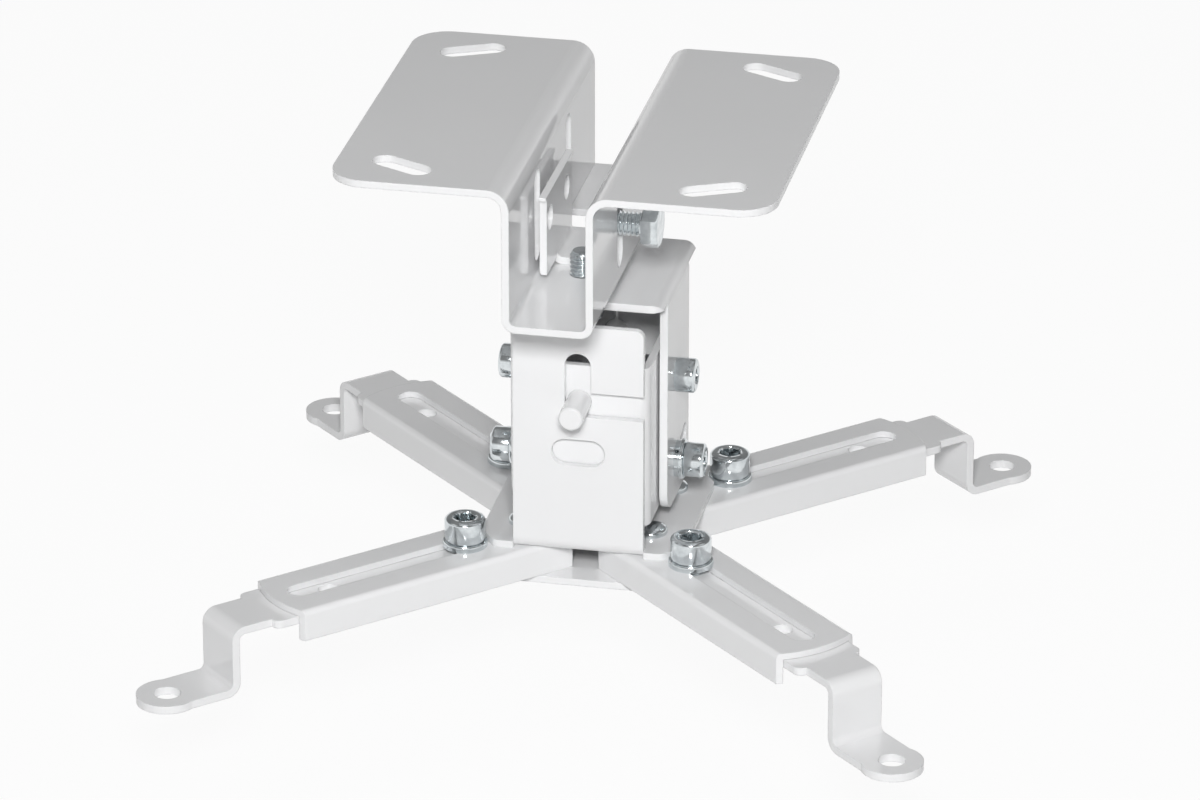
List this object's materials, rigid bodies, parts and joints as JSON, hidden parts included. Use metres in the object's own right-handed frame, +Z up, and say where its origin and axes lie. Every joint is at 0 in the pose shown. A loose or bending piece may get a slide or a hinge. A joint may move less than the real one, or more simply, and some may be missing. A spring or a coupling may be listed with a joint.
{
  "type": "projector ceiling mount",
  "caption": "White sheet-steel projector ceiling mount: hat-shaped ceiling bracket, tilting yoke, hook-on bracket and sliding, swivelling arms with feet.",
  "frame": {"origin": "on the ground, midway between the four feet, with the arms pushed in", "axes": "+Z up to the ceiling, X across the ceiling channel, +Y along the channel to the back"},
  "size_m": [0.19, 0.1846, 0.1222],
  "materials": {
    "white_powder_coat": "glossy white powder coat",
    "zinc_plate": "bright zinc plate"
  },
  "bodies": {
    "ceiling": {"ceiling_bracket": "white_powder_coat", "rear_bridge": "white_powder_coat", "saddle_bracket": "white_powder_coat", "saddle_lock_screw": "zinc_plate"},
    "yoke": {"yoke": "white_powder_coat", "swivel_bolt": "zinc_plate", "swivel_washer": "zinc_plate"},
    "carrier": {"tilt_carrier": "white_powder_coat", "hook_pin": "white_powder_coat", "tilt_pivot_screw_left": "zinc_plate", "tilt_pivot_nut_left": "zinc_plate", "tilt_lock_screw_left": "zinc_plate", "tilt_lock_spring_left": "zinc_plate", "tilt_lock_washer_left": "zinc_plate", "tilt_lock_nut_left": "zinc_plate", "tilt_pivot_screw_right": "zinc_plate", "tilt_pivot_nut_right": "zinc_plate", "tilt_lock_screw_right": "zinc_plate", "tilt_lock_spring_right": "zinc_plate", "tilt_lock_washer_right": "zinc_plate", "tilt_lock_nut_right": "zinc_plate"},
    "bracket": {"projector_bracket": "white_powder_coat", "lower_plate": "white_powder_coat", "arm_rivet_front_left": "zinc_plate", "arm_rivet_front_right": "zinc_plate", "arm_rivet_back_left": "zinc_plate", "arm_rivet_back_right": "zinc_plate"},
    "arm_front_left": {"arm_front_left": "white_powder_coat"},
    "extension_front_left": {"extension_front_left": "white_powder_coat", "arm_screw_front_left": "zinc_plate", "arm_washer_front_left": "zinc_plate", "arm_nut_front_left": "zinc_plate"},
    "arm_front_right": {"arm_front_right": "white_powder_coat"},
    "extension_front_right": {"extension_front_right": "white_powder_coat", "arm_screw_front_right": "zinc_plate", "arm_washer_front_right": "zinc_plate", "arm_nut_front_right": "zinc_plate"},
    "arm_back_left": {"arm_back_left": "white_powder_coat"},
    "extension_back_left": {"extension_back_left": "white_powder_coat", "arm_screw_back_left": "zinc_plate", "arm_washer_back_left": "zinc_plate", "arm_nut_back_left": "zinc_plate"},
    "arm_back_right": {"arm_back_right": "white_powder_coat"},
    "extension_back_right": {"extension_back_right": "white_powder_coat", "arm_screw_back_right": "zinc_plate", "arm_washer_back_right": "zinc_plate", "arm_nut_back_right": "zinc_plate"}
  },
  "joints": [
    {"name": "swivel", "type": "hinge", "parent": "ceiling", "child": "yoke", "pos_m": [-0.0014, -0.0126, 0.0832], "axis": [0, 0, 1], "continuous": true},
    {"name": "tilt", "type": "hinge", "parent": "yoke", "child": "carrier", "pos_m": [0, 0, 0.058], "axis": [1, 0, 0], "range_deg": [0, 12]},
    {"name": "hook_drop", "type": "slide", "parent": "carrier", "child": "bracket", "axis": [0, 0, -1], "range_m": [0, 0.0101]},
    {"name": "arm_swivel_front_left", "type": "hinge", "parent": "bracket", "child": "arm_front_left", "pos_m": [-0.0157, -0.013, 0.0194], "axis": [0, 0, 1], "range_deg": [-40, 2]},
    {"name": "extension_slide_front_left", "type": "slide", "parent": "arm_front_left", "child": "extension_front_left", "axis": [-0.7071, -0.7071, 0], "range_m": [0, 0.045]},
    {"name": "arm_swivel_front_right", "type": "hinge", "parent": "bracket", "child": "arm_front_right", "pos_m": [0.0157, -0.013, 0.0194], "axis": [0, 0, 1], "range_deg": [-2, 40]},
    {"name": "extension_slide_front_right", "type": "slide", "parent": "arm_front_right", "child": "extension_front_right", "axis": [0.7071, -0.7071, 0], "range_m": [0, 0.045]},
    {"name": "arm_swivel_back_left", "type": "hinge", "parent": "bracket", "child": "arm_back_left", "pos_m": [-0.0157, 0.013, 0.0194], "axis": [0, 0, 1], "range_deg": [-2, 40]},
    {"name": "extension_slide_back_left", "type": "slide", "parent": "arm_back_left", "child": "extension_back_left", "axis": [-0.7071, 0.7071, 0], "range_m": [0, 0.045]},
    {"name": "arm_swivel_back_right", "type": "hinge", "parent": "bracket", "child": "arm_back_right", "pos_m": [0.0157, 0.013, 0.0194], "axis": [0, 0, 1], "range_deg": [-40, 2]},
    {"name": "extension_slide_back_right", "type": "slide", "parent": "arm_back_right", "child": "extension_back_right", "axis": [0.7071, 0.7071, 0], "range_m": [0, 0.045]}
  ]
}
